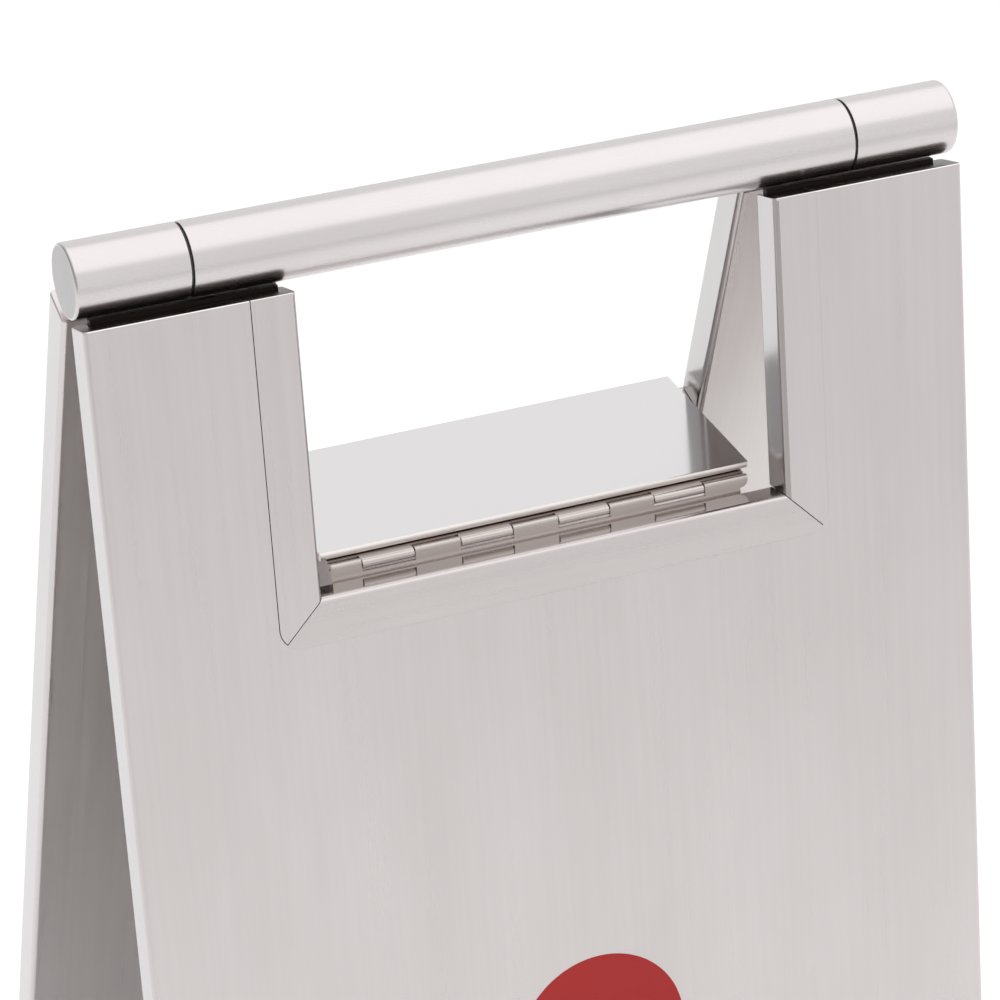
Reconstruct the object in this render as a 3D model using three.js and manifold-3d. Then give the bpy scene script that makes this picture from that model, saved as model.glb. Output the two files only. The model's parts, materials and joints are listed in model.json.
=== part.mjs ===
// Folding A-frame floor sign in brushed stainless steel.
//
// Two hollow sheet-metal boards hang from one tube that is both the carrying handle and the
// hinge: its two short end sleeves belong to the front board, its long middle to the rear one.
// Each board has a hand notch framed by folded trim. A spreader plate on a piano hinge lies
// back over the rear sill, and the lip along its far edge hooks over the rear board.
//
// Millimetres. X runs along the tube, Y to the rear, Z up. The origin is on the floor, at the
// middle of the sign.

import * as THREE from 'three';
import { mergeVertices } from 'three/addons/utils/BufferGeometryUtils.js';
import Module from 'manifold-3d';

const wasm = await Module();
wasm.setup();

// ---------------------------------------------------------------- driving dimensions

const boardWidth = 321.2;
const boardReach = 600; // from the tube's axis down to the board's lower edge
const boardThickness = 14.4;
const leanDegrees = 12.25; // each board's lean from the vertical when open
const sheet = 0.8; // gauge of the boards' skins
const gap = 0.3; // clearance between pieces that touch on the real sign
const past = 1; // how far a cutting shape runs past what it cuts
const topFall = 2; // how much lower a shoulder's top lies at the inner skin than at the outer one
const rearTopDrop = 2.6; // how much lower the rear board's shoulders start than the front board's

const tubeLength = 322.4;
const tubeRadius = 12.9;
const tubeWall = 1.2;
const sleeveLength = 39.5;
const jointGap = 1.2; // between an end sleeve and the handle tube
const capDepth = 2.6;

const notchHalfWidth = 87.4; // of the front board's notch
const rearNotchInset = 2.1; // how much narrower the rear notch is on each side
const notchDepth = 121.9; // from the tube's axis down to the front sill
const rearSillRise = 1.4; // the rear sill sits this much higher and carries the plate
const trimWidth = 16;
const trimGauge = 1;
const trimLip = 2;
const trimCornerRadius = 8;
const sillInset = 2; // how far the front sill stops short of its board's inner skin

const returnWidth = 13.2; // flange that each side of a face sheet turns back inside
const bendRadius = 1;

const hingeHalfLength = 78.8;
const hingeRise = 3.5; // hinge pin above the front sill
const knuckleRadius = 1.9;
const leafGauge = 0.9;
const pinRadius = 0.7;
const leafWidth = 14;
const knucklePitch = 36.7;
const firstSlit = -67.9;
const movingKnuckle = 19;
const knuckleSlit = 0.55;

const plateHalfWidth = 81.2;
const plateGauge = 2.65;
const plateSetback = 2.8; // plate's front edge behind the hinge pin
const hookDepth = 14;
const hookPlay = 1.6; // between the hook and the rear board's face
const hookOutsideRadius = 1.2;
const hookInsideRadius = 0.4;

const markRadius = 32.75;
const markDrop = 313.4;
const markOffset = 4.3;
const markThickness = 0.5;

const footLength = 30;
const footSpacing = 250;
const footHeight = 4;

// ---------------------------------------------------------------- worked-out dimensions

const lean = THREE.MathUtils.degToRad(leanDegrees);
const halfWidth = boardWidth / 2;
const innerFace = gap + 0.1; // distance of a board's inner skin from the plane through the axis
const outerFace = innerFace + boardThickness;
const tubeSeat = tubeRadius + gap; // distance below the axis at which a piece meets the tube
const tubeEnd = tubeLength / 2;
const axisHeight = (boardReach + footHeight) * Math.cos(lean);
const sleeveEnd = tubeEnd - sleeveLength;
const handleHalfLength = sleeveEnd - jointGap;
const boreRadius = pinRadius + gap;
const insideTube = tubeRadius - tubeWall;

const steel = { color: 0xcfccca, roughness: 0.32, metalness: 1 };
const innerSteel = { color: 0xa8a4a1, roughness: 0.4, metalness: 1 };
const polishedSteel = { color: 0xdedcda, roughness: 0.18, metalness: 1 };
const blackPlastic = { color: 0x1b1a1a, roughness: 0.6, metalness: 0 };
const blackRubber = { color: 0x1f1f20, roughness: 0.85, metalness: 0 };
const redFilm = { color: 0xa33636, roughness: 0.5, metalness: 0 };

// ---------------------------------------------------------------- shape helpers

function solidOf(geometry) {
  const bare = geometry.clone();
  bare.deleteAttribute('normal');
  bare.deleteAttribute('uv');
  const merged = mergeVertices(bare, 1e-4);
  const mesh = new wasm.Mesh({
    numProp: 3,
    vertProperties: new Float32Array(merged.attributes.position.array),
    triVerts: new Uint32Array(merged.index.array),
  });
  return new wasm.Manifold(mesh);
}

function geometryOf(solid) {
  const mesh = solid.getMesh();
  const geometry = new THREE.BufferGeometry();
  geometry.setAttribute('position', new THREE.BufferAttribute(mesh.vertProperties, 3));
  geometry.setIndex(new THREE.BufferAttribute(mesh.triVerts, 1));
  geometry.computeVertexNormals();
  return geometry;
}

function joined(...geometries) {
  return geometryOf(geometries.map(solidOf).reduce((whole, piece) => whole.add(piece)));
}

function cut(geometry, ...tools) {
  return geometryOf(tools.map(solidOf).reduce((rest, tool) => rest.subtract(tool), solidOf(geometry)));
}

function common(geometry, other) {
  return geometryOf(solidOf(geometry).intersect(solidOf(other)));
}

// A box given by its lowest and highest corners.
function block([x0, y0, z0], [x1, y1, z1]) {
  const box = new THREE.BoxGeometry(x1 - x0, y1 - y0, z1 - z0);
  return box.translate((x0 + x1) / 2, (y0 + y1) / 2, (z0 + z1) / 2);
}

function extruded(shape, depth) {
  return new THREE.ExtrudeGeometry(shape, { depth, bevelEnabled: false, curveSegments: 8 });
}

// A shape drawn in (y, z), carried along X.
function alongX(shape, x0, x1) {
  const axes = new THREE.Matrix4().makeBasis(
    new THREE.Vector3(0, 1, 0),
    new THREE.Vector3(0, 0, 1),
    new THREE.Vector3(1, 0, 0),
  );
  return extruded(shape, x1 - x0).applyMatrix4(axes).translate(x0, 0, 0);
}

// A shape drawn in (x, z), carried along Y.
function alongY(shape, y0, y1) {
  return extruded(shape, y1 - y0).rotateX(Math.PI / 2).translate(0, y1, 0);
}

// A shape drawn in (x, y), carried along Z.
function alongZ(shape, z0, z1) {
  return extruded(shape, z1 - z0).translate(0, 0, z0);
}

function polygon(points) {
  return new THREE.Shape(points.map(([a, b]) => new THREE.Vector2(a, b)));
}

function roundedRectangle(x0, y0, x1, y1, radius) {
  const shape = new THREE.Shape();
  shape.absarc(x1 - radius, y0 + radius, radius, -Math.PI / 2, 0, false);
  shape.absarc(x1 - radius, y1 - radius, radius, 0, Math.PI / 2, false);
  shape.absarc(x0 + radius, y1 - radius, radius, Math.PI / 2, Math.PI, false);
  shape.absarc(x0 + radius, y0 + radius, radius, Math.PI, Math.PI * 1.5, false);
  return shape;
}

// Points of an open line whose inner corners are rounded, one radius for each corner.
function roundedLine(corners, radii) {
  const arcSteps = 4;
  const points = [corners[0]];
  for (let i = 1; i < corners.length - 1; i += 1) {
    const arriving = corners[i].clone().sub(corners[i - 1]).normalize();
    const leaving = corners[i + 1].clone().sub(corners[i]).normalize();
    const turn = Math.atan2(arriving.cross(leaving), arriving.dot(leaving));
    const side = Math.sign(turn);
    const reach = radii[i - 1] * Math.tan(Math.abs(turn) / 2);
    const start = corners[i].clone().addScaledVector(arriving, -reach);
    const toCentre = new THREE.Vector2(-arriving.y, arriving.x).multiplyScalar(side);
    const centre = start.clone().addScaledVector(toCentre, radii[i - 1]);
    for (let step = 0; step <= arcSteps; step += 1) {
      points.push(start.clone().rotateAround(centre, (turn * step) / arcSteps));
    }
  }
  points.push(corners[corners.length - 1]);
  return points;
}

// Section of a sheet folded along an open line, with the metal on the line's left.
function foldedSection(line, gauge, insideRadius = bendRadius, outsideRadius = insideRadius + gauge) {
  const face = line.map(([a, b]) => new THREE.Vector2(a, b));
  const normals = face.slice(1).map((end, i) => {
    const along = end.clone().sub(face[i]).normalize();
    return new THREE.Vector2(-along.y, along.x);
  });
  const turns = [];
  const back = face.map((point, i) => {
    const before = normals[Math.max(i - 1, 0)];
    const after = normals[Math.min(i, normals.length - 1)];
    if (i > 0 && i < face.length - 1) {
      turns.push(Math.sign(before.cross(after)));
    }
    const offset = before.clone().add(after).divideScalar(1 + before.dot(after));
    return point.clone().addScaledVector(offset, gauge);
  });
  const faceRadii = turns.map((turn) => (turn > 0 ? outsideRadius : insideRadius));
  const backRadii = turns.map((turn) => (turn > 0 ? insideRadius : outsideRadius));
  return new THREE.Shape([...roundedLine(face, faceRadii), ...roundedLine(back, backRadii).reverse()]);
}

function disc(radius, segments = 48) {
  const shape = new THREE.Shape();
  for (let i = 0; i < segments; i += 1) {
    const angle = (2 * Math.PI * i) / segments;
    const corner = [radius * Math.cos(angle), radius * Math.sin(angle)];
    if (i === 0) {
      shape.moveTo(...corner);
    } else {
      shape.lineTo(...corner);
    }
  }
  return shape;
}

function ring(outerRadius, innerRadius, segments = 48) {
  const shape = disc(outerRadius, segments);
  shape.holes.push(disc(innerRadius, segments));
  return shape;
}

// A turned piece on the X axis. Profile points are [distance along X, radius].
function turned(profile, segments = 48) {
  const points = profile.map(([along, radius]) => new THREE.Vector2(radius, along));
  return new THREE.LatheGeometry(points, segments).rotateZ(-Math.PI / 2);
}

function named(name, geometry, look) {
  const mesh = new THREE.Mesh(geometry, new THREE.MeshStandardMaterial(look));
  mesh.name = name;
  return mesh;
}

// The same piece for the other end of the sign, turned half round about Z.
function forEnd(geometry, end) {
  return end > 0 ? geometry : geometry.clone().rotateZ(Math.PI);
}

// ---------------------------------------------------------------- one board
//
// A board is drawn hanging straight down from the tube's axis, which is the origin. Its outer
// face looks to -Y, and `drop` is a distance below the axis.

function notchOutline(halfWide, drop, radius) {
  const shape = new THREE.Shape();
  shape.moveTo(halfWide, 0);
  shape.lineTo(-halfWide, 0);
  shape.lineTo(-halfWide, -drop + radius);
  shape.absarc(-halfWide + radius, -drop + radius, radius, Math.PI, Math.PI * 1.5, false);
  shape.absarc(halfWide - radius, -drop + radius, radius, Math.PI * 1.5, Math.PI * 2, false);
  return shape;
}

// Everything above a plane that lies `under` below the sloping top of a board's shoulders.
function aboveShoulder(board, under = 0) {
  const drop = (y) => board.top + under + (topFall * (outerFace + y)) / boardThickness;
  const near = -outerFace - past;
  const outline = polygon([
    [near, -drop(near)],
    [past, -drop(past)],
    [past, past],
    [near, past],
  ]);
  return alongX(outline, -boardWidth, boardWidth);
}

function faceSheet(board) {
  const returnEdge = halfWidth - returnWidth;
  const section = foldedSection(
    [
      [-returnEdge, -innerFace],
      [-halfWidth, -innerFace],
      [-halfWidth, -outerFace],
      [halfWidth, -outerFace],
      [halfWidth, -innerFace],
      [returnEdge, -innerFace],
    ],
    sheet,
  );
  const tray = alongZ(section, -boardReach, 0);
  const filled = roundedRectangle(-halfWidth, -outerFace, halfWidth, -innerFace, bendRadius + sheet);
  const topFlange = common(alongZ(filled, -boardReach, 0), aboveShoulder(board, sheet));
  const trimHole = alongY(
    notchOutline(
      board.notchHalfWide + trimWidth + gap,
      board.sillDrop + trimWidth + gap,
      trimCornerRadius + gap,
    ),
    -outerFace - past,
    past,
  );
  return cut(joined(tray, topFlange), aboveShoulder(board), trimHole, ...hangerSlots(board));
}

// What lets the two hanger tabs through the top of a board.
function hangerSlots(board) {
  return [-1, 1].map((end) => {
    const reach = board.hangerWidth / 2 + gap;
    const middle = end * board.hangerOffset;
    return block(
      [middle - reach, -hangerOuter - gap, -board.top - topFall - sheet - past],
      [middle + reach, -hangerInner + gap, 0],
    );
  });
}

function innerSheet(board) {
  const halfWide = halfWidth - returnWidth - gap;
  const panel = block(
    [-halfWide, -innerFace - sheet, -boardReach],
    [halfWide, -innerFace, -board.top - topFall - sheet - gap],
  );
  const openingHalfWide = board.notchHalfWide + trimLip + gap;
  const opening = block(
    [-openingHalfWide, -outerFace, -board.sillDrop - trimLip - gap],
    [openingHalfWide, past, 0],
  );
  if (!board.carriesHinge) {
    return cut(panel, opening);
  }
  const hingeRoom = block(
    [-hingeHalfLength - gap, -outerFace, -board.sillDrop - leafWidth - gap],
    [hingeHalfLength + gap, past, 0],
  );
  return cut(panel, opening, hingeRoom);
}

// Everything on one side of the 45 degree mitre between a jamb and the sill.
function mitreWedge(board, above) {
  const side = above ? 1 : -1;
  const x = board.notchHalfWide;
  const z = -board.sillDrop + side * gap * Math.SQRT1_2;
  const far = side * boardWidth;
  return alongY(
    polygon([[x - far, z + far], [x + far, z - far], [x + far, z + far]]),
    -outerFace - past,
    past,
  );
}

function trimCorners(board) {
  return alongY(
    notchOutline(board.notchHalfWide + trimWidth, board.sillDrop + trimWidth, trimCornerRadius),
    -outerFace - past,
    past,
  );
}

function jambTrim(board) {
  const web = board.notchHalfWide;
  const section = foldedSection(
    [
      [web + trimLip, -innerFace],
      [web, -innerFace],
      [web, -outerFace],
      [web + trimWidth, -outerFace],
    ],
    trimGauge,
  );
  const foot = -board.sillDrop - trimWidth;
  const channel = alongZ(section, foot, 0);
  const filled = block(
    [web + bendRadius, -outerFace, foot],
    [web + trimWidth, -innerFace - sheet - gap, 0],
  );
  const top = common(filled, aboveShoulder(board, trimGauge));
  const whole = cut(joined(channel, top), aboveShoulder(board), ...hangerSlots(board));
  return common(common(whole, mitreWedge(board, true)), trimCorners(board));
}

function sillTrim(board) {
  const top = -board.sillDrop;
  const lip = -innerFace - (board.carriesHinge ? sillInset : 0);
  const section = foldedSection(
    [
      [-outerFace, top - trimWidth],
      [-outerFace, top],
      [lip, top],
      [lip, top - trimLip],
    ].reverse(),
    trimGauge,
  );
  const channel = common(alongX(section, -halfWidth, halfWidth), trimCorners(board));
  const rightEnd = mitreWedge(board, false);
  const leftEnd = rightEnd.clone().rotateZ(Math.PI).translate(0, -outerFace, 0);
  return common(common(channel, rightEnd), leftEnd);
}

const hangerInner = innerFace + sheet + gap;
const hangerOuter = hangerInner + 3;
const hangerDepth = 30;

// A flat tab welded under the tube, which reaches down into the hollow board.
function hanger(board) {
  return block(
    [-board.hangerWidth / 2, -hangerOuter, -tubeSeat - hangerDepth],
    [board.hangerWidth / 2, -hangerInner, -tubeSeat],
  );
}

const channelInner = innerFace + sheet + gap;
const channelOuter = outerFace - sheet - gap;
const stemRadius = 2.5;
const stemLength = 7;
const stemSunk = 1; // how far a stem starts inside its pad
const stemY = -(channelInner + channelOuter) / 2;

function footStem(radius, length) {
  const stem = alongZ(disc(radius, 20), -boardReach - gap, -boardReach - gap + length);
  return stem.translate(0, stemY, 0);
}

function bottomChannel() {
  const wallHeight = 12;
  const section = foldedSection(
    [
      [-channelOuter, -boardReach + wallHeight],
      [-channelOuter, -boardReach],
      [-channelInner, -boardReach],
      [-channelInner, -boardReach + wallHeight],
    ],
    sheet,
  );
  const halfLong = halfWidth - sheet - bendRadius - gap;
  const channel = alongX(section, -halfLong, halfLong);
  const holes = [-1, 1].map((end) =>
    footStem(stemRadius + gap, stemLength).translate((end * footSpacing) / 2, 0, 0),
  );
  return cut(channel, ...holes);
}

// A rubber pad whose sole is flat on the floor when the board leans.
function foot() {
  const margin = 1;
  const heel = channelInner + margin;
  const toe = channelOuter - margin;
  const floorDrop = (y) => boardReach + footHeight + y * Math.tan(lean);
  const pad = alongX(
    polygon([
      [-toe, -floorDrop(toe)],
      [-heel, -floorDrop(heel)],
      [-heel, -boardReach - gap],
      [-toe, -boardReach - gap],
    ]),
    -footLength / 2,
    footLength / 2,
  );
  return joined(pad, footStem(stemRadius, stemLength).translate(0, 0, -stemSunk));
}

// Plain round mark in coloured film on the outer face.
function mark() {
  const face = alongY(disc(markRadius, 64), -outerFace - gap - markThickness, -outerFace - gap);
  return face.translate(markOffset, 0, -markDrop);
}

function makeBoard(board) {
  const group = new THREE.Group();
  const add = (name, geometry, look) => {
    const mesh = named(`${board.name}_${name}`, geometry, look);
    group.add(mesh);
    return mesh;
  };
  add('face_sheet', faceSheet(board), steel);
  add('inner_sheet', innerSheet(board), innerSteel);
  add('sill_trim', sillTrim(board), steel);
  add('bottom_channel', bottomChannel(), innerSteel);
  add('round_mark', mark(), redFilm);
  for (const end of [-1, 1]) {
    const side = end * board.facing > 0 ? 'right' : 'left';
    const jamb = jambTrim(board);
    const mirrored = end > 0 ? jamb : mirrorX(jamb);
    add(`jamb_trim_${side}`, mirrored, steel);
    add(`hanger_tab_${side}`, hanger(board), innerSteel).position.x = end * board.hangerOffset;
    add(`foot_${side}`, foot(), blackRubber).position.x = (end * footSpacing) / 2;
  }
  return group;
}

// A mirrored copy, with its triangles turned so that they still face outward.
function mirrorX(geometry) {
  const copy = geometry.clone().scale(-1, 1, 1);
  const index = copy.index.array;
  for (let i = 0; i < index.length; i += 3) {
    [index[i], index[i + 1]] = [index[i + 1], index[i]];
  }
  copy.computeVertexNormals();
  return copy;
}

const frontBoard = {
  name: 'front',
  facing: 1,
  notchHalfWide: notchHalfWidth,
  top: tubeSeat,
  sillDrop: notchDepth,
  carriesHinge: true,
  hangerOffset: 122.5,
  hangerWidth: 65,
};

const rearBoard = {
  name: 'rear',
  facing: -1,
  notchHalfWide: notchHalfWidth - rearNotchInset,
  top: tubeSeat + rearTopDrop,
  sillDrop: notchDepth - rearSillRise,
  carriesHinge: false,
  hangerOffset: 112,
  hangerWidth: 14,
};

// ---------------------------------------------------------------- tube and pivots
//
// Drawn on the tube's axis. The pieces of an end are drawn for +X.

function endSleeve() {
  return alongX(ring(tubeRadius, insideTube), sleeveEnd, tubeEnd - capDepth - gap);
}

function endCap() {
  const edge = 1.2;
  const spigot = 8;
  const rimSteps = 3;
  const rim = Array.from({ length: rimSteps + 1 }, (_, step) => {
    const angle = (Math.PI / 2) * (1 - step / rimSteps);
    return [tubeEnd - edge + edge * Math.cos(angle), tubeRadius - edge + edge * Math.sin(angle)];
  });
  return turned([
    [tubeEnd - spigot, 0],
    [tubeEnd - spigot, insideTube - gap],
    [tubeEnd - capDepth, insideTube - gap],
    [tubeEnd - capDepth, tubeRadius],
    ...rim,
    [tubeEnd, 0],
  ]);
}

const spindleRadius = 5;
const spindleReach = 22;

function spindle() {
  const headLength = 10;
  return turned(
    [
      [sleeveEnd - spindleReach, 0],
      [sleeveEnd - spindleReach, spindleRadius],
      [sleeveEnd, spindleRadius],
      [sleeveEnd, insideTube - gap],
      [sleeveEnd + headLength, insideTube - gap],
      [sleeveEnd + headLength, 0],
    ],
    32,
  );
}

function washer() {
  const recess = 0.6;
  return alongX(
    ring(tubeRadius - recess, spindleRadius + gap),
    handleHalfLength + gap,
    sleeveEnd - gap,
  );
}

function bush() {
  const length = 16;
  return alongX(
    ring(insideTube - gap, spindleRadius + gap, 32),
    handleHalfLength - length,
    handleHalfLength,
  );
}

function handleTube() {
  return alongX(ring(tubeRadius, insideTube), -handleHalfLength, handleHalfLength);
}

// ---------------------------------------------------------------- spreader

// [start, end] of each knuckle that turns with the plate, then of each that stays.
function knuckleSpans() {
  const moving = [0, 1, 2, 3].map((i) => {
    const start = firstSlit + knucklePitch * i + knuckleSlit;
    return [start, start + movingKnuckle];
  });
  const starts = [-hingeHalfLength, ...moving.map(([, end]) => end + gap)];
  const ends = [...moving.map(([start]) => start - knuckleSlit), hingeHalfLength];
  const fixed = starts.map((start, i) => [start, ends[i]]);
  return { moving, fixed };
}

// A flat leaf with its own knuckles, with the pin at the origin.
function hingeLeaf(flat, ownSpans, otherSpans) {
  const reach = knuckleRadius + gap;
  const cutOuts = otherSpans.map(([start, end]) =>
    block([start - gap, -reach, -reach], [end + gap, reach, reach]),
  );
  const barrels = ownSpans.map(([start, end]) => alongX(disc(knuckleRadius, 24), start, end));
  const bore = alongX(disc(boreRadius, 24), -hingeHalfLength - past, hingeHalfLength + past);
  return cut(joined(cut(flat, ...cutOuts), ...barrels), bore);
}

// The leaf that hangs down behind the front sill.
function fixedLeaf({ moving, fixed }) {
  const flat = block(
    [-hingeHalfLength, -knuckleRadius, -hingeRise - leafWidth],
    [hingeHalfLength, leafGauge - knuckleRadius, 0],
  );
  return hingeLeaf(flat, fixed, moving);
}

// The leaf that lies to the rear under the plate.
function movingLeaf({ moving, fixed }) {
  const flat = block(
    [-hingeHalfLength, 0, knuckleRadius - leafGauge],
    [hingeHalfLength, leafWidth, knuckleRadius],
  );
  return hingeLeaf(flat, moving, fixed);
}

// The plate in the hinge's own frame: pin at the origin, Y to the rear, flat top.
function spreaderPlate(slope) {
  const underside = knuckleRadius + gap;
  const top = underside + plateGauge;
  const hookOutside = outerFace + hookPlay + plateGauge;
  const hookLean = lean + slope;
  const rearFace = new THREE.Vector2(Math.cos(lean), Math.sin(lean)).multiplyScalar(hookOutside);
  const fromPin = rearFace.sub(hingePin).rotateAround(new THREE.Vector2(), slope);
  const rearEdge = fromPin.x - (top - fromPin.y) * Math.tan(hookLean);
  const hookLength = (hookDepth + plateGauge) / Math.cos(hookLean);
  const hookTip = [rearEdge + hookLength * Math.sin(hookLean), top - hookLength * Math.cos(hookLean)];
  const section = foldedSection(
    [hookTip, [rearEdge, top], [plateSetback, top]],
    plateGauge,
    hookInsideRadius,
    hookOutsideRadius,
  );
  return alongX(section, -plateHalfWidth, plateHalfWidth);
}

// Hinge pin in (y, z) from the tube's axis: on the inside of the front board, above its sill.
const leafFace = innerFace + sillInset - gap;
const pinDrop = frontBoard.sillDrop - hingeRise;
const hingePin = new THREE.Vector2(knuckleRadius - leafFace, -pinDrop).rotateAround(
  new THREE.Vector2(),
  -lean,
);

// Slope at which the plate's underside clears the rear sill's outer edge by the usual gap.
function plateSlope() {
  const rest = new THREE.Vector2(outerFace, -rearBoard.sillDrop).rotateAround(new THREE.Vector2(), lean);
  rest.sub(hingePin);
  return Math.asin(knuckleRadius / rest.length()) - rest.angle();
}

// ---------------------------------------------------------------- assembly

const sign = new THREE.Group();
sign.position.z = axisHeight;

const front = makeBoard(frontBoard);
front.rotation.x = -lean;
sign.add(front);

const rear = makeBoard(rearBoard);
rear.rotation.set(lean, 0, Math.PI);
sign.add(rear);

sign.add(named('handle_tube', handleTube(), steel));
for (const [side, end] of [['left', -1], ['right', 1]]) {
  sign.add(named(`end_sleeve_${side}`, forEnd(endSleeve(), end), steel));
  sign.add(named(`end_cap_${side}`, forEnd(endCap(), end), steel));
  sign.add(named(`pivot_spindle_${side}`, forEnd(spindle(), end), polishedSteel));
  sign.add(named(`pivot_washer_${side}`, forEnd(washer(), end), blackPlastic));
  sign.add(named(`pivot_bush_${side}`, forEnd(bush(), end), blackPlastic));
}

const spans = knuckleSpans();
const hingeMount = new THREE.Group();
hingeMount.position.set(0, knuckleRadius - leafFace, -pinDrop);
hingeMount.add(named('hinge_fixed_leaf', fixedLeaf(spans), polishedSteel));
hingeMount.add(named('hinge_pin', alongX(disc(pinRadius, 20), -hingeHalfLength, hingeHalfLength), steel));
front.add(hingeMount);

const slope = plateSlope();
const spreader = new THREE.Group();
spreader.position.set(0, hingePin.x, hingePin.y);
spreader.rotation.x = -slope;
spreader.add(named('spreader_plate', spreaderPlate(slope), polishedSteel));
spreader.add(named('hinge_moving_leaf', movingLeaf(spans), polishedSteel));
sign.add(spreader);

export default sign;
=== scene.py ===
"""Looks of a folding A-frame floor sign in brushed stainless steel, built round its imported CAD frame."""

import json
import math

import bmesh
import bpy
from mathutils import Matrix, Vector


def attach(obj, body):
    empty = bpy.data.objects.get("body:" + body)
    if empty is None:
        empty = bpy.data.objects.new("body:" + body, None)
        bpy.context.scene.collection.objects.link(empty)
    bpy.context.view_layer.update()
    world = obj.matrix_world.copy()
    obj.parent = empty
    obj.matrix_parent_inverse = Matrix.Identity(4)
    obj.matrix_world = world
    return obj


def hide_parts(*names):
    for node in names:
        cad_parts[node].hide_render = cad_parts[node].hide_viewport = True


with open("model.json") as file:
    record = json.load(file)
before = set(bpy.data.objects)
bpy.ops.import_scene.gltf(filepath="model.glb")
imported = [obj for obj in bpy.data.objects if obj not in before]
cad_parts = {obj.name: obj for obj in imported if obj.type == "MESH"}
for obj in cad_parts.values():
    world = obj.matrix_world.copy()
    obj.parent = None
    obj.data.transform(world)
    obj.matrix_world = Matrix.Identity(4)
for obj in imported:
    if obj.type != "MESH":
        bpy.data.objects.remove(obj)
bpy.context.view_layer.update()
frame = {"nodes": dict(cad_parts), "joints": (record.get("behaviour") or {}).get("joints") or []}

MM = 0.001
TOUCH = 0.01 * MM  # points nearer than this are taken as one
CLEAN_CUT = 35  # degrees: a sharper edge is an edge of the piece, not a facet of a round one

# ---------------------------------------------------------------- places taken from the frame
#
# TUBE, FRONT, REAR, SPREADER and FIXED_LEAF are where the parts of the sign are drawn: X along
# the tube, Z up along the part. A board's outside faces -Y.

joints = {joint["name"]: joint for joint in frame["joints"]}
tube_axis = Vector(joints["board_fold"]["pos_m"])
hinge_pin = Vector(joints["spreader_fold"]["pos_m"])
lean = math.radians(joints["board_fold"]["range_deg"][1]) / 2

TUBE = Matrix.Translation(tube_axis)
FRONT = TUBE @ Matrix.Rotation(-lean, 4, "X")
REAR = TUBE @ Matrix.Rotation(lean, 4, "X") @ Matrix.Rotation(math.pi, 4, "Z")
SPREADER = Matrix.Translation(hinge_pin)
FIXED_LEAF = SPREADER @ Matrix.Rotation(-lean, 4, "X")

TRIM_CORNER = 8 * MM  # radius of the trim frame's outer corners
TOP_BEVEL = 0.7 * MM  # along the shoulders' top edges


def node_points(node, place):
    """A CAD node's vertices, as seen from `place`."""
    back = place.inverted()
    return [back @ v.co for v in frame["nodes"][node].data.vertices]


def box_in(place, node):
    """Lowest and highest corner of a CAD node, as seen from `place`."""
    points = node_points(node, place)
    low = Vector([min(p[i] for p in points) for i in range(3)])
    high = Vector([max(p[i] for p in points) for i in range(3)])
    return low, high


# ---------------------------------------------------------------- mesh helpers


def new_object(name, bm, place, material):
    """A smooth-shaded object from a mesh drawn at `place`."""
    bmesh.ops.recalc_face_normals(bm, faces=bm.faces[:])
    mesh = bpy.data.meshes.new(name)
    bm.to_mesh(mesh)
    bm.free()
    obj = bpy.data.objects.new(name, mesh)
    bpy.context.scene.collection.objects.link(obj)
    obj.matrix_world = place
    obj.data.materials.append(material)
    shade(obj)
    return obj


def shade(obj):
    """Smooth shading, broken at clean-cut edges."""
    mesh = obj.data
    mesh.shade_smooth()
    bm = bmesh.new()
    bm.from_mesh(mesh)
    limit = math.radians(CLEAN_CUT)
    for edge in bm.edges:
        edge.smooth = len(edge.link_faces) == 2 and edge.calc_face_angle(0) < limit
    bm.to_mesh(mesh)
    bm.free()
    weighted = obj.modifiers.new("even normals", "WEIGHTED_NORMAL")
    weighted.keep_sharp = True


def soften(bm, width, segments, where=None):
    """Rounds off the clean-cut edges of a mesh, or those of them that `where` picks."""
    limit = math.radians(CLEAN_CUT)
    edges = [edge for edge in bm.edges if len(edge.link_faces) == 2 and edge.calc_face_angle(0) > limit]
    if where:
        edges = [edge for edge in edges if where(edge)]
    bmesh.ops.bevel(
        bm, geom=edges, offset=width, segments=segments, profile=0.5, affect="EDGES", clamp_overlap=True
    )


def mesh_of(node, place):
    """A CAD node as a clean mesh of flat many-sided faces, as seen from `place`."""
    bm = bmesh.new()
    bm.from_mesh(frame["nodes"][node].data)
    bmesh.ops.transform(bm, matrix=place.inverted(), verts=bm.verts[:])
    bmesh.ops.remove_doubles(bm, verts=bm.verts[:], dist=TOUCH)
    bmesh.ops.dissolve_limit(
        bm, angle_limit=math.radians(1), use_dissolve_boundaries=False, verts=bm.verts[:], edges=bm.edges[:]
    )
    bm.normal_update()
    return bm


def stand_for(obj, body, slot, *nodes):
    """Attaches a piece to its body and hides the CAD nodes it stands for."""
    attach(obj, body)
    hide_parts(*nodes)
    return obj


def refined(node, place, body, material, slot, width=0.2 * MM, segments=2, where=None, reshape=None):
    """A copy of a CAD node with its edges rounded off, which stands for the node."""
    bm = mesh_of(node, place)
    if reshape:
        reshape(bm)
    soften(bm, width, segments, where=where)
    return stand_for(new_object(f"{node}_skin", bm, place, material), body, slot, node)


def second_finish(obj, material, facing):
    """Gives another material to the faces whose normal `facing` picks."""
    obj.data.materials.append(material)
    slot = len(obj.data.materials) - 1
    for face in obj.data.polygons:
        if facing(face.normal):
            face.material_index = slot


def add_prism(bm, outline, start, end):
    """A closed outline of (y, z) points carried along X, from start(z) to end(z) at each of them."""
    ends = [[bm.verts.new((x(z), y, z)) for y, z in outline] for x in (start, end)]
    count = len(outline)
    for i in range(count):
        j = (i + 1) % count
        bm.faces.new((ends[0][i], ends[0][j], ends[1][j], ends[1][i]))
    bm.faces.new(ends[0])
    bm.faces.new(ends[1])


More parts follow.
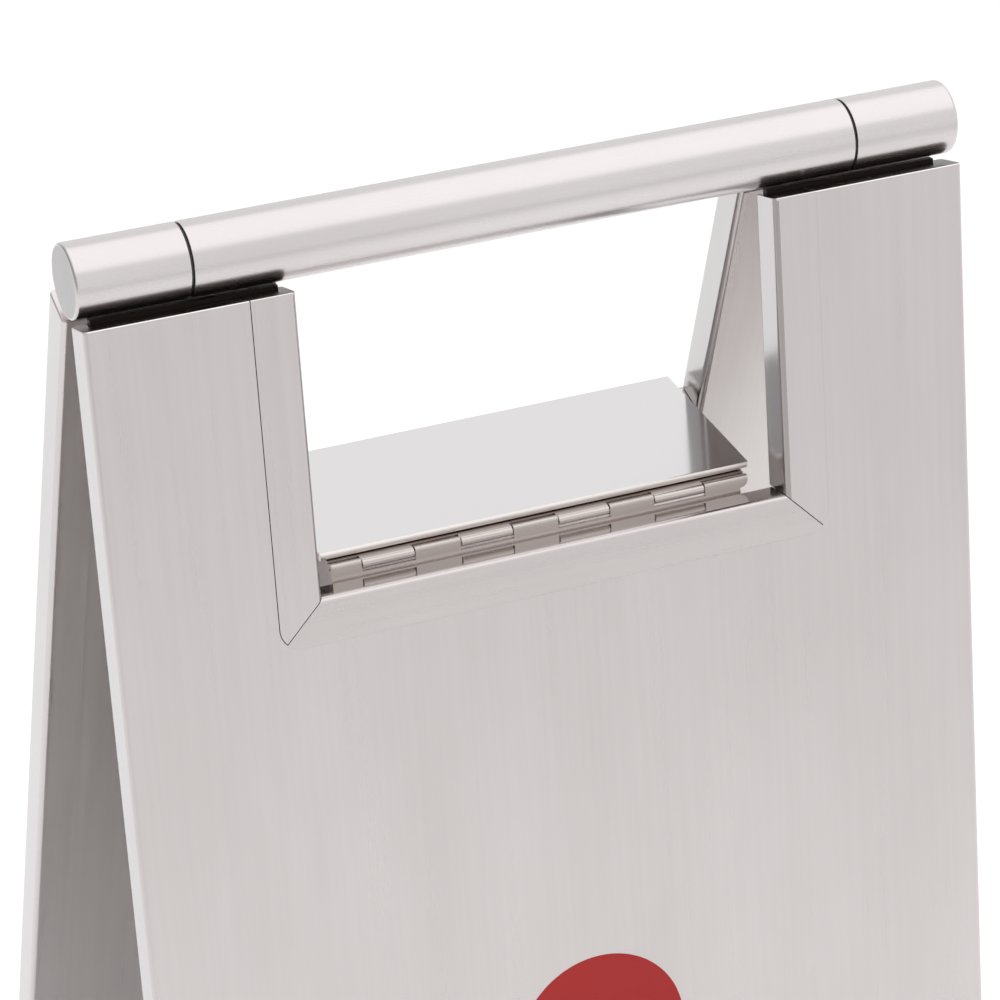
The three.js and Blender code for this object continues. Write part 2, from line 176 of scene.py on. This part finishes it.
def square_end(x):
    """An end for add_prism that is cut square across."""
    return lambda z: x


def turned_mesh(profile, segments=128):
    """A profile of (along X, radius) points spun about the X axis."""
    bm = bmesh.new()
    rings = []
    for along, radius in profile:
        if radius == 0:
            rings.append([bm.verts.new((along, 0, 0))])
            continue
        angles = [2 * math.pi * i / segments for i in range(segments)]
        rings.append([bm.verts.new((along, radius * math.cos(a), radius * math.sin(a))) for a in angles])
    for first, second in zip(rings, rings[1:]):
        for i in range(segments):
            j = (i + 1) % segments
            corners = [(first, i), (first, j), (second, j), (second, i)]
            points = [ring[k % len(ring)] for ring, k in corners]
            bm.faces.new(dict.fromkeys(points))  # next to the axis, two of the four are one point
    return bm


def arc(centre, radius, start_degrees, end_degrees, steps):
    """Points along an arc, both ends included."""
    points = []
    for step in range(steps + 1):
        angle = math.radians(start_degrees + (end_degrees - start_degrees) * step / steps)
        points.append((centre[0] + radius * math.cos(angle), centre[1] + radius * math.sin(angle)))
    return points


# ---------------------------------------------------------------- material helpers


class Nodes:
    """Small helper to wire a material's nodes."""

    def __init__(self, name):
        self.material = bpy.data.materials.new(name)
        self.material.use_nodes = True
        self.tree = self.material.node_tree
        self.shader = self.tree.nodes["Principled BSDF"]
        self.place = self.add("ShaderNodeTexCoord").outputs["Object"]

    def add(self, kind, **values):
        node = self.tree.nodes.new(kind)
        for key, value in values.items():
            setattr(node, key, value)
        return node

    def link(self, source, target):
        self.tree.links.new(source, target)

    def noise(self, scale, detail=3.0, roughness=0.55, distortion=0.0):
        """Noise whose scale is cycles a metre along X, Y and Z of the piece."""
        mapping = self.add("ShaderNodeMapping")
        mapping.inputs["Scale"].default_value = scale
        self.link(self.place, mapping.inputs["Vector"])
        noise = self.add("ShaderNodeTexNoise")
        noise.inputs["Scale"].default_value = 1
        noise.inputs["Detail"].default_value = detail
        noise.inputs["Roughness"].default_value = roughness
        noise.inputs["Distortion"].default_value = distortion
        self.link(mapping.outputs["Vector"], noise.inputs["Vector"])
        return noise.outputs["Fac"]

    def spread(self, value, low, high):
        """Stretches the middle of a noise out to the range low to high."""
        ranged = self.add("ShaderNodeMapRange", clamp=True)
        ranged.inputs["From Min"].default_value = 0.3
        ranged.inputs["From Max"].default_value = 0.7
        ranged.inputs["To Min"].default_value = low
        ranged.inputs["To Max"].default_value = high
        self.link(value, ranged.inputs["Value"])
        return ranged.outputs["Result"]

    def math(self, operation, first, second):
        node = self.add("ShaderNodeMath", operation=operation)
        for socket, value in zip(node.inputs, (first, second)):
            if isinstance(value, (int, float)):
                socket.default_value = value
            else:
                self.link(value, socket)
        return node.outputs["Value"]

    def mix(self, factor, first, second, blend="MIX"):
        node = self.add("ShaderNodeMix", data_type="RGBA", blend_type=blend)
        sockets = [node.inputs[0], node.inputs[6], node.inputs[7]]  # Factor, and A and B as colours
        for socket, value in zip(sockets, (factor, first, second)):
            if isinstance(value, (int, float, tuple)):
                socket.default_value = value
            else:
                self.link(value, socket)
        return node.outputs[2]  # Result as a colour

    def bump(self, height, distance, strength=1.0, normal=None):
        node = self.add("ShaderNodeBump")
        node.inputs["Strength"].default_value = strength
        node.inputs["Distance"].default_value = distance
        self.link(height, node.inputs["Height"])
        if normal is not None:
            self.link(normal, node.inputs["Normal"])
        return node.outputs["Normal"]


def brushed_steel(name, grain, tint, roughness, streak=0.03, cloud=0.03, wave=0.6 * MM, hair=0.002 * MM):
    """Steel brushed along the piece's X or Z axis.

    `grain` is that axis, `tint` the metal's colour, `streak` how much the brushing varies the
    gloss, `cloud` how blotchy the tone is, `wave` how far the sheet waves over a hand's width, and
    `hair` how deep the finest scratches are.
    """
    nodes = Nodes(name)
    long = 7  # strokes a metre, end to end

    def brushed(side_by_side):
        """Scale of a noise with that many strokes a metre across the grain."""
        return (long, side_by_side, side_by_side) if grain == "X" else (side_by_side, side_by_side, long)

    hairlines = nodes.noise(brushed(1500), detail=2)
    strokes = nodes.noise(brushed(420), detail=4)
    blotches = nodes.noise(brushed(22), detail=3)
    bands = nodes.noise(brushed(60), detail=2)

    light = tuple(min(1.0, c * (1 + cloud)) for c in tint) + (1,)
    dark = (tint[0] * (1 - cloud), tint[1] * (1 - 1.4 * cloud), tint[2] * (1 - 1.2 * cloud), 1)
    colour = nodes.mix(nodes.spread(blotches, 0, 1), dark, light)
    dull = 1 - streak
    grey = nodes.mix(nodes.spread(strokes, 0, 1), (dull, dull, dull, 1), (1, 1, 1, 1))
    nodes.link(nodes.mix(1.0, colour, grey, "MULTIPLY"), nodes.shader.inputs["Base Color"])

    stroke_gloss = nodes.spread(strokes, roughness - streak, roughness + streak)
    band_gloss = nodes.spread(bands, -streak / 2, streak / 2)
    nodes.link(nodes.math("ADD", stroke_gloss, band_gloss), nodes.shader.inputs["Roughness"])
    nodes.shader.inputs["Metallic"].default_value = 1.0

    waved = nodes.bump(nodes.noise((7, 7, 7), detail=1), wave)
    nodes.link(nodes.bump(hairlines, hair, normal=waved), nodes.shader.inputs["Normal"])
    return nodes.material


def plastic(name, tint, roughness, grain_size, depth):
    """A moulded or rubbery surface with a fine pebbled grain of that size."""
    nodes = Nodes(name)
    cells = 1 / grain_size
    pebbles = nodes.noise((cells, cells, cells), detail=3)
    smudges = nodes.noise((40, 40, 40), detail=4)
    dark = tuple(c * 0.75 for c in tint) + (1,)
    light = tuple(c * 1.3 for c in tint) + (1,)
    nodes.link(nodes.mix(nodes.spread(smudges, 0, 1), dark, light), nodes.shader.inputs["Base Color"])
    nodes.link(nodes.spread(smudges, roughness - 0.08, roughness + 0.08), nodes.shader.inputs["Roughness"])
    nodes.link(nodes.bump(pebbles, depth), nodes.shader.inputs["Normal"])
    return nodes.material


def red_film(name):
    """Satin self-adhesive film with a faint orange-peel surface."""
    nodes = Nodes(name)
    peel = nodes.noise((900, 900, 900), detail=2)
    smudges = nodes.noise((30, 30, 30), detail=3)
    red = nodes.mix(nodes.spread(smudges, 0, 1), (0.35, 0.014, 0.014, 1), (0.38, 0.018, 0.018, 1))
    nodes.link(red, nodes.shader.inputs["Base Color"])
    nodes.shader.inputs["Specular IOR Level"].default_value = 0.3
    nodes.link(nodes.spread(smudges, 0.42, 0.52), nodes.shader.inputs["Roughness"])
    nodes.link(nodes.bump(peel, 0.01 * MM), nodes.shader.inputs["Normal"])
    return nodes.material


STIFF = 0.1 * MM  # how far small folded pieces wave

face_steel = brushed_steel("steel, brushed upright", "Z", (0.652, 0.615, 0.609), 0.30)
cross_steel = brushed_steel("steel, brushed across", "X", (0.645, 0.603, 0.598), 0.28)
edge_steel = brushed_steel("edge steel, upright", "Z", (0.62, 0.60, 0.60), 0.2, 0.02, wave=0.2 * MM)
# Painted shade: the folds' rounded edges get a darker steel than the faces beside them.
bend_shade_steel = brushed_steel("bend steel, upright, painted shade", "Z", (0.44, 0.41, 0.40), 0.25, 0.02, wave=STIFF)
# Painted shade: near-black steel for the front shoulders' tops, under the tube.
shade_steel = brushed_steel("top steel, in the tube's shade", "X", (0.075, 0.062, 0.054), 0.25, wave=STIFF)
# Painted highlight: near-white steel for the shoulders' rounded front edges.
glint_steel = brushed_steel("bevel steel, painted highlight", "X", (0.95, 0.925, 0.91), 0.3, 0.02, wave=STIFF)
sill_steel = brushed_steel("sill steel, bright", "X", (0.58, 0.545, 0.53), 0.1, 0.02, wave=STIFF)
# Painted shade: the hanger tabs under the tube are near black, standing for the shade there.
tab_shade_steel = brushed_steel("tab steel, painted dark as shade", "X", (0.05, 0.04, 0.035), 0.45, wave=STIFF)
tube_steel = brushed_steel(
    "tube, brushed lengthwise", "X", (0.67, 0.64, 0.635), 0.27, 0.02, wave=0.2 * MM, hair=0.001 * MM
)
# Painted shade: the caps' flat ends get a darker copy of the tube's steel.
cap_shade_steel = brushed_steel("end cap steel, painted darker", "Z", (0.46, 0.45, 0.452), 0.30, wave=STIFF)
plate_steel = brushed_steel(
    "plate, fine brushed", "X", (0.77, 0.755, 0.76), 0.12, 0.004, 0.01, wave=0.3 * MM, hair=0.0004 * MM
)
hem_steel = brushed_steel("plate hem, satin", "X", (0.78, 0.735, 0.71), 0.34, 0.03, wave=STIFF)
inner_steel = brushed_steel("inner steel, dull", "Z", (0.70, 0.668, 0.657), 0.32, 0.05)
hinge_steel = brushed_steel("hinge steel", "X", (0.60, 0.56, 0.53), 0.24, 0.05, cloud=0.08, wave=STIFF)
nylon = plastic("black nylon", (0.02, 0.02, 0.02), 0.5, 0.4 * MM, 0.02 * MM)
rubber = plastic("black rubber", (0.022, 0.022, 0.023), 0.75, 0.6 * MM, 0.05 * MM)
film = red_film("red film")

# ---------------------------------------------------------------- which faces get which finish
#
# Each function picks faces by their normal in the frame of their own part.


def upward(normal):
    return normal.z > 0.93


def sideways(normal):
    return abs(normal.x) > 0.97


def on_front_bevel(normal):
    return normal.y < -0.3 and 0.25 < normal.z <= 0.93


def inward(normal):
    return normal.y > 0.97


def in_bend(normal):
    """The rounded fold of an upright edge, painted darker as shade, more of it on the left than on the
    right.
    """
    upright = abs(normal.z) < 0.2
    return upright and (-0.97 <= normal.x < -0.15 or 0.5 < normal.x <= 0.97)


def on_end_face(normal):
    return abs(normal.x) > 0.98


def on_hem(normal):
    return normal.y < -0.12


# ---------------------------------------------------------------- boards


def dress_board(name, place, body):
    face_sheet(name, place, body)
    inner_sheet(name, place, body)
    trim(name, "sill_trim", 0.28 * MM, place, body, cross_steel)
    trim(name, "jamb_trim_left", 0, place, body, face_steel)
    trim(name, "jamb_trim_right", 0.28 * MM, place, body, face_steel)
    refined(f"{name}_bottom_channel", place, body, inner_steel, "inner_steel", 0.12 * MM)
    for side in ("left", "right"):
        # drawn upright, because a tilted object's box would reach below the floor
        refined(f"{name}_foot_{side}", Matrix.Identity(4), body, rubber, "black_rubber", 0.8 * MM, 4)
    round_mark(name, place, body)


def on_shoulder_top(edge, top, rim):
    """Whether an edge bounds one of the shoulders' upward faces, within `rim` of the top."""
    beside_top = any(upward(face.normal) for face in edge.link_faces)
    return beside_top and min(v.co.z for v in edge.verts) > top - rim


def face_sheet(name, place, body):
    """The outer skin: its top edges are rounded off, its opening stays crisp."""
    top = box_in(place, f"{name}_face_sheet")[1].z

    def on_top(edge):
        return on_shoulder_top(edge, top, 5 * MM)

    skin = refined(f"{name}_face_sheet", place, body, face_steel, "brushed_steel", TOP_BEVEL, 3, on_top)
    second_finish(skin, edge_steel, sideways)
    second_finish(skin, inner_steel, inward)
    # painted shade on the front shoulders' tops
    second_finish(skin, shoulder_steel(name), upward)
    # painted highlight on the front bevels
    second_finish(skin, glint_steel, on_front_bevel)


def shoulder_steel(name):
    """The front shoulders' tops are painted nearly black as shade, from the tube close over them."""
    return shade_steel if name == "front" else cross_steel


def inner_sheet(name, place, body):
    """The inner skin, let in a little behind the returns that overlap its edges."""
    half = box_in(place, f"{name}_inner_sheet")[1].x
    overlap, recess = 0.22 * MM, 0.25 * MM

    def let_in(bm):
        for v in bm.verts:
            if abs(v.co.x) > half - TOUCH:
                v.co.x += math.copysign(overlap, v.co.x)
            v.co.y -= recess

    refined(f"{name}_inner_sheet", place, body, inner_steel, "inner_steel", 0.1 * MM, reshape=let_in)


def trim(name, part, growth, place, body, material):
    """A trim piece grown outward, so that only a hairline is left between it and the face sheet."""
    is_sill = part == "sill_trim"
    half = max(abs(corner.x) for corner in box_in(place, f"{name}_jamb_trim_right"))
    bottom = box_in(place, f"{name}_sill_trim")[0].z
    low, high = box_in(place, f"{name}_{part}")

    def on_top(edge):
        outside = max(v.co.y for v in edge.verts) < low.y + 0.1 * MM
        return outside and not is_sill and on_shoulder_top(edge, high.z, 4 * MM)

    def grow(bm):
        for v in bm.verts:
            grow_outward(v.co, half, bottom, growth)

    skin = refined(f"{name}_{part}", place, body, material, "brushed_steel", TOP_BEVEL, 3, on_top, grow)
    second_finish(skin, edge_steel, sideways)
    # painted shade in the rounded folds
    second_finish(skin, bend_shade_steel, in_bend)
    # painted shade on the front shoulders' tops
    second_finish(skin, sill_steel if is_sill else shoulder_steel(name), upward)
    # painted highlight on the shoulders' front bevels
    if not is_sill:
        second_finish(skin, glint_steel, on_front_bevel)


def grow_outward(point, half, bottom, growth):
    """Moves a point of the trim frame's outer outline outward, with the outline's round corners."""
    corner = Vector((half - TRIM_CORNER, bottom + TRIM_CORNER))
    across, down = abs(point.x) - corner.x, corner.y - point.z
    out = Vector((0, 0))
    if across > 0 and down > 0:
        from_centre = Vector((across, down))
        if from_centre.length > TRIM_CORNER - 2 * TOUCH:
            out = from_centre.normalized() * growth
    elif abs(point.x) > half - TOUCH:
        out = Vector((growth, 0))
    elif point.z < bottom + TOUCH:
        out = Vector((0, growth))
    point.x += math.copysign(out.x, point.x)
    point.z -= out.y


def round_mark(name, place, body):
    """Thin film lying on the board's face, with a softly rounded edge."""
    low, high = box_in(place, f"{name}_round_mark")
    face = box_in(place, f"{name}_face_sheet")[0].y
    radius = (high.x - low.x) / 2
    thickness, sunk = 0.12 * MM, 0.05 * MM
    rounding = thickness * 0.6
    centre = Vector(((low.x + high.x) / 2, face, (low.z + high.z) / 2))
    edge = arc((thickness - rounding, radius - rounding), rounding, 90, 0, 4)
    profile = [(-sunk, 0), (-sunk, radius), *edge, (thickness, 0)]
    bm = turned_mesh(profile, 160)
    outward = Matrix.Rotation(-math.pi / 2, 4, "Z")
    bmesh.ops.transform(bm, matrix=Matrix.Translation(centre) @ outward, verts=bm.verts[:])
    obj = new_object(f"{name}_mark_film", bm, place, film)
    stand_for(obj, body, "red_film", f"{name}_round_mark")


# ---------------------------------------------------------------- tube


def tube_length(node, profile, body):
    """A turned piece on the tube's axis, which stands for its CAD node."""
    obj = new_object(f"{node}_skin", turned_mesh(profile), TUBE, tube_steel)
    return stand_for(obj, body, "brushed_steel", node)


def dress_tube():
    """Handle tube, end sleeves and end caps, with the tube's three lengths drawn a little closer."""
    high = box_in(TUBE, "handle_tube")[1]
    closer, edge, wall = 0.12 * MM, 0.25 * MM, 1.2 * MM
    radius, half = high.z, high.x + closer
    bore = radius - wall
    right_end = arc((half - edge, radius - edge), edge, 90, 0, 4)
    left_end = arc((-half + edge, radius - edge), edge, 180, 90, 4)
    profile = [(-half, bore), *left_end, *right_end, (half, bore), (-half, bore)]
    tube_length("handle_tube", profile, "rear_board")

    cap_depth, rim, crown = 2.6 * MM, 1.2 * MM, 0.15 * MM
    start = box_in(TUBE, "end_sleeve_right")[0].x - closer
    end = box_in(TUBE, "end_cap_right")[1].x
    seam = end - cap_depth
    for side, sign in (("left", -1), ("right", 1)):
        inner = arc((start + edge, radius - edge), edge, 180, 90, 4)
        sleeve = [(start, bore), *inner, (seam, radius), (seam, bore), (start, bore)]
        tube_length(f"end_sleeve_{side}", turned_to(sleeve, sign), "front_board")
        outer = arc((end - crown - rim, radius - rim), rim, 90, 8, 8)
        cap = [(seam, 0), (seam, radius), *outer, (end, 0)]
        skin = tube_length(f"end_cap_{side}", turned_to(cap, sign), "front_board")
        # painted shade on the caps' flat ends
        second_finish(skin, cap_shade_steel, on_end_face)


def turned_to(profile, sign):
    """A turned piece's profile for the tube's right end (1) or its left end (-1)."""
    return [(sign * along, radius) for along, radius in profile]


# ---------------------------------------------------------------- spreader and its hinge


def dress_spreader():
    front = box_in(SPREADER, "spreader_plate")[0].y
    hem_radius = 1 * MM

    def front_edge(edge):
        return max(v.co.y for v in edge.verts) < front + hem_radius

    plate = refined(
        "spreader_plate", SPREADER, "spreader", plate_steel, "polished_steel", hem_radius, 6, front_edge
    )
    second_finish(plate, hem_steel, on_hem)
    refined("hinge_moving_leaf", SPREADER, "spreader", hinge_steel, "polished_steel", 0.12 * MM)
    refined("hinge_pin", FIXED_LEAF, "front_board", hinge_steel, "polished_steel", 0.15 * MM)
    fixed_leaf()


def spans(node, place, is_knuckle):
    """Start and end of each knuckle of a hinge leaf, from the CAD points that only knuckles have."""
    ends = sorted({round(p.x, 5) for p in node_points(node, place) if is_knuckle(p)})
    return list(zip(ends[::2], ends[1::2]))


def fixed_leaf():
    """The hanging leaf, with knuckles whose front is flat and flush with it."""
    points = node_points("hinge_fixed_leaf", FIXED_LEAF)
    low, high = box_in(FIXED_LEAF, "hinge_fixed_leaf")
    radius, front, bottom, half = high.z, low.y, low.z, high.x
    back = max(p.y for p in points if p.z < bottom / 2)
    rise = 0.25 * MM  # of a knuckle's top over the round CAD knuckle
    corner = 0.9 * MM
    rounding = 3 * MM
    cut_top = -radius - 0.3 * MM  # where the knuckles stand on the leaf

    def rounded_end(z):
        below = min(1, max(0, (cut_top + rounding - z) / rounding))
        return half - rounding * (1 - math.sqrt(1 - below**2))

    steps = 8  # up the front, where the rounded end needs points to follow
    step = (radius + rise - corner - cut_top) / steps
    knuckle = [
        *[(front, cut_top + i * step) for i in range(steps)],
        *arc((front + corner, radius + rise - corner), corner, 180, 90, 5),
        *arc((0, rise), radius, 90, 0, 8),
        *arc((0, 0), radius, 0, -math.degrees(math.acos(back / radius)), 12),
        (back, cut_top),
    ]
    leaf = [(front, bottom), (front, cut_top), (back, cut_top), (back, bottom)]
    bm = bmesh.new()
    for start, end in spans("hinge_fixed_leaf", FIXED_LEAF, lambda p: p.z > radius / 2):
        is_last = end > half - rounding
        add_prism(bm, knuckle, square_end(start), rounded_end if is_last else square_end(end))
    add_prism(bm, leaf, square_end(-half), square_end(half - rounding))
    bmesh.ops.remove_doubles(bm, verts=bm.verts[:], dist=0.001 * MM)
    obj = new_object("hinge_fixed_leaf_skin", bm, FIXED_LEAF, hinge_steel)
    stand_for(obj, "front_board", "polished_steel", "hinge_fixed_leaf")


# ---------------------------------------------------------------- inside pieces that stay as they are


def paint_hidden():
    looks = {
        "pivot_spindle": hinge_steel,
        "pivot_washer": nylon,
        "pivot_bush": nylon,
        # the hanger tabs are painted near black as shade under the tube
        "front_hanger_tab": tab_shade_steel,
        "rear_hanger_tab": tab_shade_steel,
    }
    for node, material in looks.items():
        for side in ("left", "right"):
            mesh = frame["nodes"][f"{node}_{side}"].data
            mesh.materials.clear()
            mesh.materials.append(material)


# ---------------------------------------------------------------- stage


def pale_floor():
    bm = bmesh.new()
    bmesh.ops.create_grid(bm, x_segments=8, y_segments=8, size=15)
    nodes = Nodes("pale floor")
    tone = nodes.spread(nodes.noise((3, 3, 3)), 0.93, 0.95)
    colour = nodes.add("ShaderNodeCombineColor")
    for channel in ("Red", "Green", "Blue"):
        nodes.link(tone, colour.inputs[channel])
    nodes.link(colour.outputs["Color"], nodes.shader.inputs["Base Color"])
    nodes.shader.inputs["Roughness"].default_value = 0.9
    floor = new_object("floor", bm, Matrix.Identity(4), nodes.material)


def studio_light(name, place, aim, size, power, mirrored=True):
    """A soft rectangular light, which the steel mirrors unless told otherwise."""
    data = bpy.data.lights.new(name, "AREA")
    data.shape = "RECTANGLE"
    data.size, data.size_y = size
    data.energy = power
    light = bpy.data.objects.new(name, data)
    bpy.context.scene.collection.objects.link(light)
    light.location = place
    light.rotation_euler = (Vector(aim) - Vector(place)).to_track_quat("-Z", "Y").to_euler()
    light.visible_glossy = mirrored


def white_room():
    """White all round, fading to grey towards the left wall."""
    world = bpy.data.worlds.new("studio")
    world.use_nodes = True
    tree = world.node_tree
    background = tree.nodes["Background"]
    background.inputs["Color"].default_value = (1, 1, 1, 1)
    direction = tree.nodes.new("ShaderNodeTexCoord")
    parts = tree.nodes.new("ShaderNodeSeparateXYZ")
    tree.links.new(direction.outputs["Generated"], parts.inputs["Vector"])
    wall = tree.nodes.new("ShaderNodeMapRange")
    wall.interpolation_type = "SMOOTHSTEP"
    wall.inputs["From Min"].default_value = -0.45
    wall.inputs["From Max"].default_value = -0.1
    wall.inputs["To Min"].default_value = 0.45
    wall.inputs["To Max"].default_value = 0.97
    tree.links.new(parts.outputs["X"], wall.inputs["Value"])
    tree.links.new(wall.outputs["Result"], background.inputs["Strength"])
    return world


def studio():
    bpy.context.scene.world = white_room()
    studio_light("overhead", (0, 0.1, 2.2), (0, 0.1, 0), (3, 3), 12)
    studio_light("floor_fill", (0, 0, 3), (0, 0, 0), (4, 4), 34, mirrored=False)
    bpy.context.scene.view_settings.view_transform = "Standard"


def camera():
    """Looks down on the top of the sign from its front left, through a long lens."""
    from_tube = Vector((-0.52005, -1.1277, 0.6626))
    azimuth, elevation, roll = math.radians(24.57), math.radians(32.25), math.radians(1.47)
    data = bpy.data.cameras.new("camera")
    data.lens = 150.5
    data.sensor_width = 36
    obj = bpy.data.objects.new("camera", data)
    bpy.context.scene.collection.objects.link(obj)
    turn = Matrix.Rotation(-azimuth, 4, "Z") @ Matrix.Rotation(math.pi / 2 - elevation, 4, "X")
    obj.matrix_world = Matrix.Translation(tube_axis + from_tube) @ turn @ Matrix.Rotation(roll, 4, "Z")
    bpy.context.scene.camera = obj


camera()
studio()
pale_floor()
dress_board("front", FRONT, "front_board")
dress_board("rear", REAR, "rear_board")
dress_tube()
dress_spreader()
paint_hidden()
